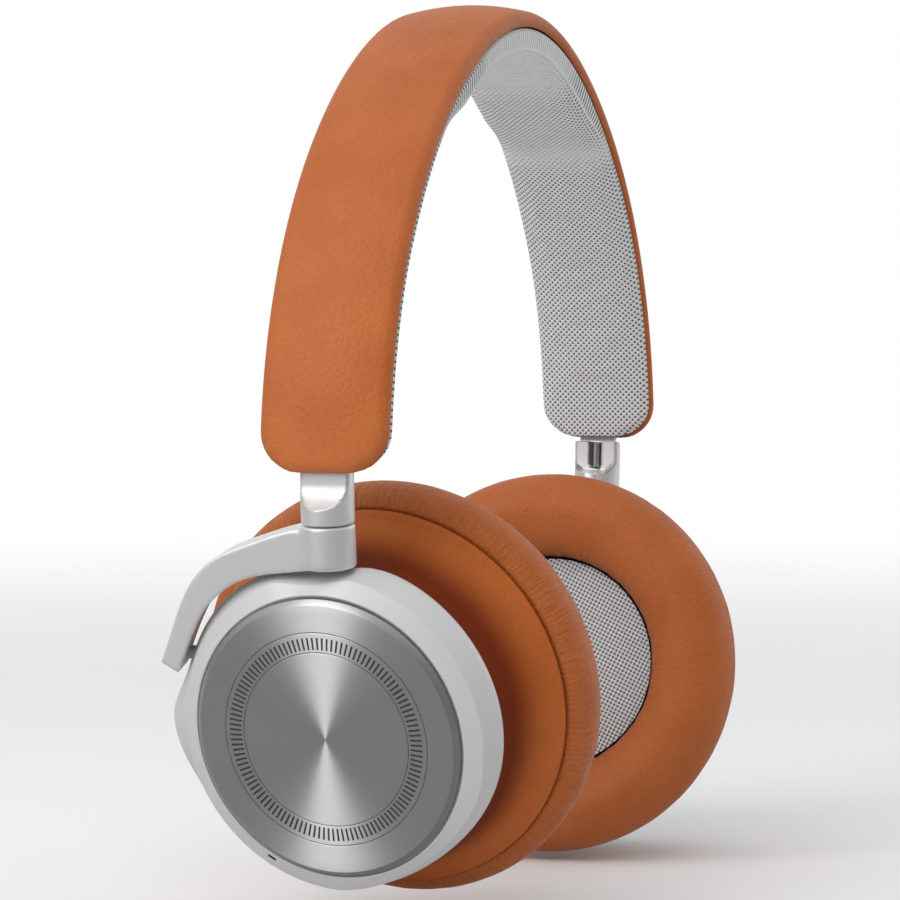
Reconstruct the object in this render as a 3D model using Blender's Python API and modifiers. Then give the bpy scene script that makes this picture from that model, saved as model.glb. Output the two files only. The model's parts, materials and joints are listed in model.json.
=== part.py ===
"""Over-ear headphones: a padded headband, two curved sliders, two one-sided arms and two round ear cups.

Metres, +Z up. +X is the wearer's left, -Y is the front. The origin is where the crown pad rests on the head.
Each side is built from the same functions: side is +1 for the left cup and -1 for the right cup.
"""
import bpy
import bmesh
from math import atan2, cos, degrees, exp, pi, radians, sin, sqrt
from mathutils import Matrix, Vector

MM = 0.001
GAP = 0.3 * MM

# Headband: a half circle about an axis along Y, a little raised at the crown
ARCH_R = 99.7 * MM
CROWN_RISE = 3.9 * MM
PAD_DEPTH = 8.8 * MM
CROWN_PAD_EXTRA = 3.0 * MM
CROWN_PAD_END = 40.0
CROWN_PAD_STEP = 12.0
BAND_HALF_WIDTH = 14.3 * MM
BAND_END_RADIUS = 9.0 * MM
BAND_END_CUT = 0.5 * MM
BAND_END_ANGLE = 0.4
ARCH_CENTRE = Vector((0, 0, -(ARCH_R + CROWN_RISE - PAD_DEPTH - CROWN_PAD_EXTRA)))

# Slider: slides on an arc about the headband's own centre
STRAP_R = 94.3 * MM
STRAP_WIDTH = 10.4 * MM
STRAP_THICKNESS = 4.0 * MM
STRAP_FOOT = 2.0 * MM
STRAP_TOP = 13.0 * MM
STRAP_SLOT_WIDTH = 3.0 * MM
STRAP_SLOT_FOOT = 5.9 * MM
STRAP_SLOT_DEPTH = 1.8 * MM
STRIP_WIDTH = 9.0 * MM
STRIP_THICKNESS = 1.6 * MM
STRIP_R = STRAP_R + 0.6 * MM
STRIP_END_ANGLE = 22.0
GUIDE_WALL = 0.5 * MM
GUIDE_START_ANGLE = 7.5
GUIDE_END_ANGLE = 25.0
FOAM_START_ANGLE = 29.0
BARREL_R = 5.65 * MM
BARREL_SHOULDER = 3.6 * MM
BARREL_PARTING = 1.0 * MM
BARREL_BOTTOM = -8.4 * MM
SLEEVE_R = 0.9 * MM
SWIVEL_PIN_R = 2.2 * MM
SWIVEL_PIN_END = -7.0 * MM
SWIVEL_PIN_TOP = 2.3 * MM

# Cap in the band's end, round the slider's mouth
CAP_INNER_R = 93.1 * MM
CAP_OUTER_R = 97.6 * MM
CAP_HALF_WIDTH = 6.8 * MM
CAP_LOW = 1.2 * MM
CAP_HIGH = 2.8 * MM

# Arm, in the barrel's frame: out from the barrel's axis, rearward, and up from the slider's foot
ARM_OUT = 2.8 * MM
ARM_IN = -5.6 * MM
PIVOT_OUT = -2.4 * MM
PIVOT_UP = -28.5 * MM
PIN_R = 1.5 * MM
PIN_INNER_END = 22.0 * MM
PIN_OUTER_END = 37.6 * MM

# Ear cup: distances along its axis from the cushion's widest plane, outward positive
CUP_BEHIND_PIVOT = 29.84 * MM
CUP_BELOW_PIVOT = 15.45 * MM
CUP_REAR = 1.1 * MM
SHELL_R = 36.9 * MM
CREASE_R = 34.6 * MM
MICROPHONE_ANGLE = 150.0
MICROPHONE_R = 32.2 * MM
MICROPHONE_HEIGHT = 35.1 * MM
CONTROL_HEIGHT = 20.5 * MM
CONTROL_ANGLE = 105.0
SWITCH_ANGLE = 128.0
SWITCH_TRAVEL = 1.5 * MM
SOCKET_ANGLE = 180.0
WALL_CLEARANCE = GAP + 0.05 * MM

# Rest pose of each side: angle of the slider below the arch's end, swivel and tilt, in degrees
REST = {-1: {"slide": 6.7, "swivel": 4.5, "tilt": 5.0}, 1: {"slide": 8.1, "swivel": 2.5, "tilt": -0.8}}
SIDE_NAME = {-1: "right", 1: "left"}

ROUND_STEPS = 28
INNER_STEPS = 18
TINY = 1e-6


def clear_scene():
    for obj in list(bpy.data.objects):
        bpy.data.objects.remove(obj, do_unlink=True)


def new_collection(name):
    collection = bpy.data.collections.new(name)
    bpy.context.scene.collection.children.link(collection)
    return collection


clear_scene()
PARTS = new_collection("headphones")
CUTTERS = new_collection("cutters")

# Finish: base colour, roughness, metallic
FINISHES = {
    "leather": ((0.47, 0.14, 0.045), 0.55, 0.0),
    "knit": ((0.55, 0.55, 0.55), 0.9, 0.0),
    "foam": ((0.1, 0.1, 0.1), 0.95, 0.0),
    "black_plastic": ((0.02, 0.02, 0.02), 0.5, 0.0),
    "silver_shell": ((0.62, 0.62, 0.63), 0.4, 0.6),
    "spun_aluminium": ((0.7, 0.7, 0.7), 0.25, 1.0),
    "blasted_aluminium": ((0.6, 0.6, 0.61), 0.4, 1.0),
    "steel": ((0.5, 0.5, 0.52), 0.3, 1.0),
    "magnet_steel": ((0.2, 0.2, 0.21), 0.35, 1.0),
    "circuit_board": ((0.02, 0.12, 0.05), 0.5, 0.0),
    "membrane": ((0.12, 0.12, 0.13), 0.4, 0.0),
    "cable_jacket": ((0.03, 0.03, 0.03), 0.6, 0.0),
}


def material(finish, name):
    colour, roughness, metallic = FINISHES[finish]
    mat = bpy.data.materials.new(name + "_" + finish)
    mat.use_nodes = True
    mat.diffuse_color = (*colour, 1.0)
    shader = mat.node_tree.nodes["Principled BSDF"]
    shader.inputs["Base Color"].default_value = (*colour, 1.0)
    shader.inputs["Roughness"].default_value = roughness
    shader.inputs["Metallic"].default_value = metallic
    return mat


def add_empty(name, parent=None, location=(0, 0, 0), rotation=(0, 0, 0)):
    empty = bpy.data.objects.new(name, None)
    PARTS.objects.link(empty)
    empty.empty_display_size = 5 * MM
    empty.parent = parent
    empty.location = location
    empty.rotation_euler = rotation
    return empty


def add_part(name, mesh, frame, finish):
    obj = bpy.data.objects.new(name, mesh)
    PARTS.objects.link(obj)
    obj.parent = frame
    if finish:
        mesh.materials.append(material(finish, name))
    return obj


def make_cutter(obj):
    PARTS.objects.unlink(obj)
    CUTTERS.objects.link(obj)
    obj.hide_render = True
    obj.display_type = "WIRE"
    return obj


def boolean(obj, other, operation="DIFFERENCE"):
    modifier = obj.modifiers.new(operation.lower() + "_" + other.name, "BOOLEAN")
    modifier.operation = operation
    modifier.solver = "EXACT"
    modifier.object = other


def mesh_from(name, build):
    """Mesh made by a bmesh builder, with its faces turned outward and round faces shaded smooth."""
    bm = bmesh.new()
    build(bm)
    bmesh.ops.recalc_face_normals(bm, faces=bm.faces)
    mesh = bpy.data.meshes.new(name)
    bm.to_mesh(mesh)
    bm.free()
    mesh.shade_smooth()
    mesh.set_sharp_from_angle(angle=radians(35))
    return mesh


def add_turned(name, profile, frame, finish, steps=ROUND_STEPS, closed=True, location=(0, 0, 0)):
    """Solid of revolution about local Z. The profile is (radius, height), down its outer side."""
    mesh = bpy.data.meshes.new(name)
    points = [(radius, 0, height) for radius, height in profile]
    edges = [(i, i + 1) for i in range(len(points) - 1)]
    if closed:
        edges.append((len(points) - 1, 0))
    mesh.from_pydata(points, edges, [])
    obj = add_part(name, mesh, frame, finish)
    obj.location = location
    screw = obj.modifiers.new("turn", "SCREW")
    screw.axis = "Z"
    screw.steps = screw.render_steps = steps
    screw.use_merge_vertices = True
    screw.merge_threshold = TINY
    screw.use_smooth_shade = True
    return obj


def ring_profile(inner, outer, low, high):
    return [(inner, high), (outer, high), (outer, low), (inner, low)]


def disc_profile(outer, low, high):
    return [(0, high), (outer, high), (outer, low), (0, low)]


def add_cylinder(name, radius, start, end, frame, finish, steps=INNER_STEPS):
    """Round bar between two points of the frame."""
    start, end = Vector(start), Vector(end)
    axis = end - start

    def build(bm):
        turn = axis.to_track_quat("Z", "Y").to_matrix().to_4x4()
        place = Matrix.Translation((start + end) / 2) @ turn
        bmesh.ops.create_cone(bm, cap_ends=True, segments=steps, radius1=radius, radius2=radius,
                              depth=axis.length, matrix=place)

    return add_part(name, mesh_from(name, build), frame, finish)


def add_box(name, low, high, frame, finish, bevel=0.0):
    low, high = Vector(low), Vector(high)

    def build(bm):
        place = Matrix.Translation((low + high) / 2) @ Matrix.Diagonal((*(high - low), 1))
        bmesh.ops.create_cube(bm, size=1, matrix=place)

    obj = add_part(name, mesh_from(name, build), frame, finish)
    if bevel:
        modifier = obj.modifiers.new("edges", "BEVEL")
        modifier.width = bevel
        modifier.segments = 2
    return obj


def add_loft(name, sections, frame, finish):
    """Closed body through sections that have the same number of points."""

    def build(bm):
        rings = [[bm.verts.new(point) for point in section] for section in sections]
        count = len(rings[0])
        for first, second in zip(rings, rings[1:]):
            for i in range(count):
                j = (i + 1) % count
                bm.faces.new((first[i], first[j], second[j], second[i]))
        bm.faces.new(rings[0])
        bm.faces.new(rings[-1])

    return add_part(name, mesh_from(name, build), frame, finish)


# ---------------------------------------------------------------- headband

def arch_radius(angle):
    return ARCH_R + CROWN_RISE * sin(angle) ** 9


def pad_depth(angle):
    """Thick over the crown, with a soft step down either side of it."""
    off_crown = abs(degrees(angle) - 90)
    share = max(0.0, min(1.0, (CROWN_PAD_END - off_crown) / CROWN_PAD_STEP))
    return PAD_DEPTH + CROWN_PAD_EXTRA * share * share * (3 - 2 * share)


def arch_point(angle, y, depth):
    """Point of the arch at an angle up from its right end, at a depth under the leather's surface."""
    step = 1e-4
    radius = arch_radius(angle)
    slope = (arch_radius(angle + step) - arch_radius(angle - step)) / (2 * step)
    outward = Vector((-cos(angle), 0, sin(angle)))
    along = Vector((sin(angle), 0, cos(angle)))
    normal = (outward * radius - along * slope).normalized()
    return outward * radius - normal * depth + Vector((0, y, 0))


def end_width(angle):
    """Half width of the band over its full half width: its ends have large round corners."""
    distance = min(angle, pi - angle) * ARCH_R + BAND_END_CUT
    if distance >= BAND_END_RADIUS:
        return 1.0
    inset = BAND_END_RADIUS - sqrt(BAND_END_RADIUS ** 2 - (BAND_END_RADIUS - distance) ** 2)
    return 1.0 - inset / BAND_HALF_WIDTH


def arch_angles(first, last, count, end_steps=()):
    """Even angles between two ends, in degrees, with closer ones by both ends."""
    even = [first + (last - first) * i / count for i in range(count + 1)]
    near = [first + step for step in end_steps] + [last - step for step in end_steps]
    return [radians(angle) for angle in sorted(set(even + near))]


def add_arch(name, half_section, angles, finish, rounded=True):
    """Loft along the arch. half_section(angle) gives (y, depth) loops for +Y; it is mirrored to -Y."""
    sections = []
    for angle in angles:
        outer, inner = half_section(angle)
        mirrored = [(-y, depth) for y, depth in reversed(outer)] if outer[0][0] == 0 else []
        loop = mirrored[:-1] + outer + inner
        loop += [(-y, depth) for y, depth in reversed(inner)][1:]
        scale = end_width(angle) if rounded else 1.0
        sections.append([arch_point(angle, y * scale, depth) for y, depth in loop])
    return add_loft(name, sections, BAND, finish)


def in_mm(points):
    return [(y * MM, depth * MM) for y, depth in points]


def leather_section(angle):
    outer = in_mm([(0, 0), (5.0, 0.25), (10.0, 1.0), (13.2, 2.2), (14.3, 3.8), (13.5, 5.2)])
    inner = in_mm([(12.5, 4.8), (13.0, 3.9), (12.4, 2.9), (7.5, 1.5), (5.0, 1.3), (0, 1.1)])
    return outer, inner


def knit_section(angle):
    depth = pad_depth(angle) / MM
    outer = in_mm([(0, depth), (5.0, depth - 0.2), (9.0, depth - 0.9), (12.0, depth - 2.2), (13.6, 5.7)])
    inner = in_mm([(12.8, 5.8), (11.4, depth - 2.7), (8.6, depth - 1.65), (5.0, depth - 1.05), (0, depth - 0.8)])
    return outer, inner


def foam_section(angle):
    depth = pad_depth(angle) / MM
    outer = in_mm([(0, 4.3), (10.2, 4.3)])
    inner = in_mm([(10.2, depth - 2.9), (8.4, depth - 2.1), (0, depth - 1.2)])
    return outer, inner


def plate_section(half_width, top, bottom):
    def section(angle):
        return in_mm([(0, top), (half_width, top)]), in_mm([(half_width, bottom), (0, bottom)])
    return section


def build_headband():
    ends = (BAND_END_ANGLE, 180 - BAND_END_ANGLE)
    end_steps = (0.9, 3.0)
    add_arch("headband_leather_cover", leather_section, arch_angles(*ends, 24, end_steps), "leather")
    add_arch("headband_knit_cover", knit_section, arch_angles(*ends, 24, end_steps), "knit")
    foam_angles = [angle for angle in arch_angles(*ends, 24)
                   if FOAM_START_ANGLE < degrees(angle) < 180 - FOAM_START_ANGLE]
    add_arch("headband_foam", foam_section, foam_angles, "foam")
    core_angles = arch_angles(GUIDE_START_ANGLE, 180 - GUIDE_START_ANGLE, 22)
    add_arch("headband_core", plate_section(7.5, 1.95, 2.7), core_angles, "black_plastic")
    add_arch("headband_spring", plate_section(7.0, 3.0, 3.8), arch_angles(30, 150, 16), "steel")
    add_band_cable()
    for side in (-1, 1):
        add_slider_guide(side)
        add_end_cap(side)


def add_band_cable():
    """The wire between the two cups, on the rear side of the spring."""
    curve = bpy.data.curves.new("headband_cable", "CURVE")
    curve.dimensions = "3D"
    curve.bevel_depth = 0.5 * MM
    curve.bevel_resolution = 0
    curve.use_fill_caps = True
    spline = curve.splines.new("POLY")
    points = [arch_point(angle, 9 * MM, 3.5 * MM) for angle in arch_angles(30, 150, 32)]
    spline.points.add(len(points) - 1)
    for target, point in zip(spline.points, points):
        target.co = (*point, 1)
    add_part("headband_cable", curve, BAND, "cable_jacket")


def arc_section(angle, radius, half_width, half_thickness, side):
    """Rectangle across an arc about the arch's centre, at an angle up from the arch's end."""
    corners = [(-1, -1), (1, -1), (1, 1), (-1, 1)]
    points = []
    for across, through in corners:
        r = radius + through * half_thickness
        points.append(Vector((side * r * cos(angle), across * half_width, r * sin(angle))))
    return points


def add_arc_bar(name, first, last, count, radius, width, thickness, frame, finish, side):
    angles = [radians(first + (last - first) * i / count) for i in range(count + 1)]
    sections = [arc_section(angle, radius, width / 2, thickness / 2, side) for angle in angles]
    return add_loft(name, sections, frame, finish)


def add_slider_guide(side):
    """Channel that the slider's steel strip runs in."""
    name = "slider_guide_" + SIDE_NAME[side]
    width, height = STRIP_WIDTH + 2 * GAP, STRIP_THICKNESS + 2 * GAP
    guide = add_arc_bar(name, GUIDE_START_ANGLE, GUIDE_END_ANGLE, 4, STRIP_R, width + 2 * GUIDE_WALL,
                        height + 2 * GUIDE_WALL, BAND, "black_plastic", side)
    cutter = add_arc_bar(name + "_cutter", GUIDE_START_ANGLE - 1.5, GUIDE_END_ANGLE + 2, 5, STRIP_R, width, height,
                         BAND, None, side)
    boolean(guide, make_cutter(cutter))


def add_end_cap(side):
    """U-shaped cap in the band's end, round the slider's mouth."""
    name = "band_end_cap_" + SIDE_NAME[side]
    cap = add_box(name, sorted_low(side, CAP_INNER_R, CAP_OUTER_R, -CAP_HALF_WIDTH, CAP_LOW),
                  sorted_high(side, CAP_INNER_R, CAP_OUTER_R, CAP_HALF_WIDTH, CAP_HIGH), BAND, "black_plastic")
    slot_inner, slot_outer = CAP_INNER_R - 2 * MM, STRAP_R + STRAP_THICKNESS / 2 + 0.5 * MM
    slot_half = STRAP_WIDTH / 2 + 0.4 * MM
    cutter = add_box(name + "_cutter", sorted_low(side, slot_inner, slot_outer, -slot_half, CAP_LOW - MM),
                     sorted_high(side, slot_inner, slot_outer, slot_half, CAP_HIGH + MM), BAND, None)
    boolean(cap, make_cutter(cutter))


def sorted_low(side, inner, outer, y, z):
    return (min(side * inner, side * outer), y, z)


def sorted_high(side, inner, outer, y, z):
    return (max(side * inner, side * outer), y, z)


# ---------------------------------------------------------------- slider and arm

def build_slider(side, slider, barrel):
    name = SIDE_NAME[side]
    rise = degrees(STRAP_TOP / STRAP_R)
    tongue = add_arc_bar("slider_barrel_" + name, degrees(STRAP_FOOT / STRAP_R), rise, 4, STRAP_R, STRAP_WIDTH,
                         STRAP_THICKNESS, slider, "blasted_aluminium", side)
    slot_inner, slot_outer = -(STRAP_THICKNESS / 2 + MM), -(STRAP_THICKNESS / 2 - STRAP_SLOT_DEPTH)
    slot = add_box("sleeve_slot_" + name,
                   sorted_low(side, slot_inner, slot_outer, -STRAP_SLOT_WIDTH / 2, STRAP_SLOT_FOOT),
                   sorted_high(side, slot_inner, slot_outer, STRAP_SLOT_WIDTH / 2, STRAP_TOP + 2 * MM), barrel, None)
    boolean(tongue, make_cutter(slot))
    body = add_turned("slider_barrel_body_" + name,
                      disc_profile(BARREL_R, BARREL_PARTING + GAP / 2, BARREL_SHOULDER), barrel, None, closed=False)
    boolean(tongue, make_cutter(body), "UNION")
    bore = add_cylinder("swivel_bore_" + name, SWIVEL_PIN_R + GAP, (0, 0, SWIVEL_PIN_END - GAP),
                        (0, 0, SWIVEL_PIN_TOP + GAP), barrel, None, 16)
    boolean(tongue, make_cutter(bore))
    add_cylinder("cable_sleeve_" + name, SLEEVE_R, (-side * 1.15 * MM, 0, 6.6 * MM),
                 (-side * 1.6 * MM, 0, 12.6 * MM), barrel, "steel", 12)
    rest = REST[side]["slide"]
    add_arc_bar("slider_strip_" + name, rise + degrees(GAP / STRAP_R), STRIP_END_ANGLE + rest, 10, STRIP_R,
                STRIP_WIDTH, STRIP_THICKNESS, slider, "steel", side)
    add_cylinder("swivel_pin_" + name, SWIVEL_PIN_R, (0, 0, SWIVEL_PIN_END), (0, 0, SWIVEL_PIN_TOP), barrel,
                 "steel", 16)
    return bore


# The arm seen from the side, (rearward, up) in mm. Its inner outline is higher and further out from the cup than
# its outer one, so that its lower wall slopes away from the shell's rim.
ARM_TOP_EDGE = [(0, 0.4), (7.5, -0.3), (19.2, -4.1), (26.3, -7.2), (31.0, -11.4), (34.4, -17.0), (37.7, -25.0),
                (39.8, -30.0)]
ARM_TOP_LIFT = [(0, 0.4), (0, 0.6), (0.2, 0.8), (0.3, 0.8), (0.4, 0.7), (0.6, 0.5), (0.6, 0.3), (0.6, 0.2)]
ARM_LOW_EDGE = [(35.6, -32.2), (33.4, -26.8), (31.1, -22.1), (28.7, -18.2), (25.9, -15.4), (22.9, -13.2),
                (19.5, -11.5), (14.7, -10.2), (7.8, -9.3), (0, -8.4)]
ARM_LOW_LIFT = [(2.0, 0.8), (2.1, 0.7), (2.1, 0.9), (1.9, 1.2), (1.6, 1.5), (1.3, 1.7), (0.9, 1.8), (0.5, 1.6),
                (0.2, 1.0), (0, 0)]


def arm_outline(edge, lift, share):
    return [(y + share * dy, z + share * dz) for (y, z), (dy, dz) in zip(edge, lift)]


def add_arm_body(name, side, arm):
    """Loft between the arm's outer outline, over the cup's shell, and its inner one."""
    sections = []
    for out, share in ((ARM_OUT, 0), (ARM_IN, 1)):
        outline = arm_outline(ARM_TOP_EDGE, ARM_TOP_LIFT, share) + arm_outline(ARM_LOW_EDGE, ARM_LOW_LIFT, share)
        sections.append([Vector((side * out, y * MM, z * MM)) for y, z in outline])
    return add_loft("arm_" + name, sections, arm, "blasted_aluminium")


def build_arm(side, arm, bore):
    name = SIDE_NAME[side]
    yoke = add_arm_body(name, side, arm)
    body = add_turned("arm_barrel_" + name, disc_profile(BARREL_R, BARREL_BOTTOM, BARREL_PARTING - GAP / 2), arm,
                      None, closed=False)
    boolean(yoke, make_cutter(body), "UNION")
    boolean(yoke, bore)
    pin_x = side * PIVOT_OUT
    pin_bore = add_cylinder("pin_bore_" + name, PIN_R + GAP, (pin_x, PIN_INNER_END - 2 * MM, PIVOT_UP),
                            (pin_x, PIN_OUTER_END + GAP, PIVOT_UP), arm, None)
    boolean(yoke, make_cutter(pin_bore))
    add_cylinder("tilt_pin_" + name, PIN_R, (pin_x, PIN_INNER_END, PIVOT_UP), (pin_x, PIN_OUTER_END, PIVOT_UP), arm,
                 "steel", 16)


# ---------------------------------------------------------------- ear cup

def bump(angle, centre, width):
    return exp(-(wrap(angle - centre) / width) ** 2)


def shell_radius(angle):
    """Shell outline by angle in degrees, from up towards the rear: round, hollowed under the barrel, full round
    the pivot below the arm's tip, and flatter at the lower front."""
    pivot_bulge = 3.2 * bump(angle, 90, 12 if wrap(angle) < 90 else 20)
    beside_arm = 0.3 * bump(angle, 50, 18)
    under_barrel = 3.0 * bump(angle, 4, 15)
    lower_front = 2.65 * bump(angle, -146, 38)
    return SHELL_R + (pivot_bulge + beside_arm - under_barrel - lower_front) * MM


def cup_point(side, angle, radius, height):
    """Point of the cup's frame, whose Z is outward and Y is rearward."""
    return Vector((-side * radius * cos(angle), radius * sin(angle), height))


def shell_rings():
    """(height, radius by angle) of each ring, from the open back over the front to the middle."""

    def outline(inset):
        return lambda angle: shell_radius(angle) - inset * MM

    def crease(inset):
        return lambda angle: min(shell_radius(angle) - 1.2 * MM, CREASE_R) - inset * MM

    def circle(radius):
        return lambda angle: radius * MM

    return [(26.5, outline(0.7)), (27.3, outline(0)), (29.0, outline(0)), (33.8, crease(0)), (35.8, circle(30.9)),
            (35.0, circle(30.8)), (35.0, circle(16)), (33.6, circle(16)), (33.6, circle(29.8)),
            (32.4, crease(1.8)), (28.6, outline(1.8)), (26.5, outline(1.8))]


def add_shell(side, cup):
    """Silver outer shell: a dish with a seat for the disc and a round hole in the seat's middle."""
    count = 40
    rings = [[cup_point(side, radians(i * 360 / count), radius(wrap(i * 360 / count)), height * MM)
              for i in range(count)] for height, radius in shell_rings()]
    name = "outer_shell_" + SIDE_NAME[side]

    def build(bm):
        verts = [[bm.verts.new(point) for point in ring] for ring in rings]
        for first, second in zip(verts, verts[1:] + verts[:1]):
            for i in range(count):
                j = (i + 1) % count
                bm.faces.new((first[i], first[j], second[j], second[i]))

    shell = add_part(name, mesh_from(name, build), cup, "silver_shell")
    hole = add_cylinder("pin_hole_" + SIDE_NAME[side], PIN_R + 0.6 * MM, (-side * CUP_BELOW_PIVOT, 20 * MM,
                        CUP_BEHIND_PIVOT), (-side * CUP_BELOW_PIVOT, 42 * MM, CUP_BEHIND_PIVOT), cup, None, 16)
    boolean(shell, make_cutter(hole))


def wrap(angle):
    """Angle between -180 and 180 degrees."""
    return (angle + 180) % 360 - 180


def mm_profile(points):
    return [(radius * MM, height * MM) for radius, height in points]


def cushion_profile():
    """Ring cushion: a broad roll that slopes to the ear opening, flat where it is held."""
    points = [(41.2, 5.2), (44.9, 4.0), (46.3, 0), (45.4, -5.4), (42.2, -9.6), (37.4, -11.4), (31.6, -9.6),
              (27.2, -6.0), (25.6, -1.8), (26.2, 5.2)]
    return mm_profile(points)


def wrap_profile():
    """Leather-wrapped back: a flared skin from the seam to under the shell's rim."""
    outer = [(33.2, 26.1), (33.5, 21.0), (35.3, 14.0), (39.0, 8.2), (41.5, 6.4), (41.5, 5.6)]
    inner = [(40.6, 5.6), (38.3, 7.4), (34.5, 13.7), (32.7, 20.9), (32.4, 26.1)]
    return mm_profile(outer + inner)


def housing_profile():
    """Housing under the leather, with an inner flange that carries the outer shell."""
    outer = [(32.1, 26.1), (32.4, 20.8), (34.1, 13.6), (37.9, 7.3)]
    inner = [(36.2, 7.3), (32.6, 13.0), (30.9, 20.6), (30.8, 24.6), (27.0, 24.6), (27.0, 26.1)]
    return mm_profile(outer + inner)


def driver_profile():
    return mm_profile([(20.8, 10.4), (22.0, 10.4), (22.0, 9.0), (20.2, 9.0), (18.6, 9.6), (12.4, 14.2), (12.4, 15.4),
                       (13.4, 15.4)])


def diaphragm_profile():
    return mm_profile([(0, 8.0), (6.0, 7.6), (9.0, 8.6), (19.4, 8.6), (19.4, 8.2), (14.0, 7.0), (9.0, 8.1),
                       (6.0, 7.1), (0, 7.4)])


def disc_face_profile():
    return mm_profile([(0, 37.3), (29.3, 37.3), (30.4, 36.2), (30.4, 35.3), (0, 35.3)])


def build_cup(side, cup):
    name = SIDE_NAME[side]
    add_turned("cushion_" + name, cushion_profile(), cup, "leather")
    add_turned("cushion_plate_" + name, mm_profile(ring_profile(26.4, 38.4, 5.5, 6.7)), cup, "black_plastic")
    add_turned("speaker_cloth_" + name, mm_profile(disc_profile(25.2, -1.2, -0.3)), cup, "knit", closed=False)
    add_turned("baffle_" + name, mm_profile(ring_profile(19.9, 34.9, 7.1, 8.6)), cup, "black_plastic", INNER_STEPS)
    add_turned("diaphragm_" + name, diaphragm_profile(), cup, "membrane", INNER_STEPS, closed=False)
    add_turned("driver_clamp_ring_" + name, mm_profile(ring_profile(20.6, 24.4, 5.6, 6.8)), cup, "steel", INNER_STEPS)
    add_turned("driver_frame_" + name, driver_profile(), cup, "black_plastic", INNER_STEPS)
    add_turned("magnet_" + name, mm_profile(disc_profile(11.6, 14.6, 20.0)), cup, "magnet_steel", INNER_STEPS,
               closed=False)
    add_turned("housing_" + name, housing_profile(), cup, "black_plastic")
    add_turned("leather_wrap_" + name, wrap_profile(), cup, "leather")
    add_turned("circuit_board_" + name, mm_profile(disc_profile(26.0, 21.4, 22.8)), cup, "circuit_board", INNER_STEPS,
               closed=False)
    add_turned("disc_" + name, disc_face_profile(), cup, "spun_aluminium", 32, closed=False)
    add_shell(side, cup)
    add_pivot_block(side, cup)
    add_microphone(side, cup)


def add_pivot_block(side, cup):
    """Metal block in the cup that the arm's pin turns in."""
    name = "pivot_block_" + SIDE_NAME[side]
    up = -side * CUP_BELOW_PIVOT
    half = 3.4 * MM
    block = add_box(name, (up - half, 20 * MM, 26.5 * MM), (up + half, 26.6 * MM, 32.2 * MM), cup, "steel")
    bore = add_cylinder(name + "_bore", PIN_R + GAP, (up, 20 * MM, CUP_BEHIND_PIVOT), (up, 30 * MM, CUP_BEHIND_PIVOT),
                        cup, None, 16)
    boolean(block, make_cutter(bore))


def add_microphone(side, cup):
    """Slot-shaped microphone insert in the front slope of the outer shell, low at the rear."""
    name = "microphone_" + SIDE_NAME[side]
    centre = cup_point(side, radians(MICROPHONE_ANGLE), MICROPHONE_R, MICROPHONE_HEIGHT)
    frame = add_empty(name + "_frame", cup, centre, (0, 0, atan2(centre.y, centre.x)))
    add_box(name, (-0.4 * MM, -1.2 * MM, -1.4 * MM), (0.4 * MM, 1.2 * MM, -0.2 * MM), frame, "black_plastic")
    slot = add_box(name + "_slot", (-0.7 * MM, -1.5 * MM, -1.7 * MM), (0.7 * MM, 1.5 * MM, 2 * MM), frame, None)
    boolean(bpy.data.objects["outer_shell_" + SIDE_NAME[side]], make_cutter(slot))


def wall_frame(name, side, cup, angle, height):
    """Frame on the cup's side wall: X outward through the wall, Y round the cup, Z along the cup's axis."""
    direction = cup_point(side, radians(angle), 1.0, 0)
    centre = cup_point(side, radians(angle), 0, height)
    return add_empty(name, cup, centre, (0, 0, atan2(direction.y, direction.x)))


def add_wall_piece(name, side, cup, angle, radii, size, finish, travel=0, bevel=0.5 * MM):
    """Piece that comes out through the leather and the housing, with clearance for its travel round the cup."""
    frame = wall_frame(name + "_frame", side, cup, angle, CONTROL_HEIGHT)
    inner, outer = radii
    half_round, half_axial = size[0] / 2, size[1] / 2
    piece = add_box(name, (inner, -half_round, -half_axial), (outer, half_round, half_axial), frame, finish, bevel)
    half_opening = half_round + WALL_CLEARANCE + travel
    cutter = add_box(name + "_opening", (28 * MM, -half_opening, -half_axial - WALL_CLEARANCE),
                     (40 * MM, half_opening, half_axial + WALL_CLEARANCE), frame, None)
    for wall in ("housing_", "leather_wrap_"):
        boolean(bpy.data.objects[wall + SIDE_NAME[side]], cutter)
    make_cutter(cutter)
    return piece


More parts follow.
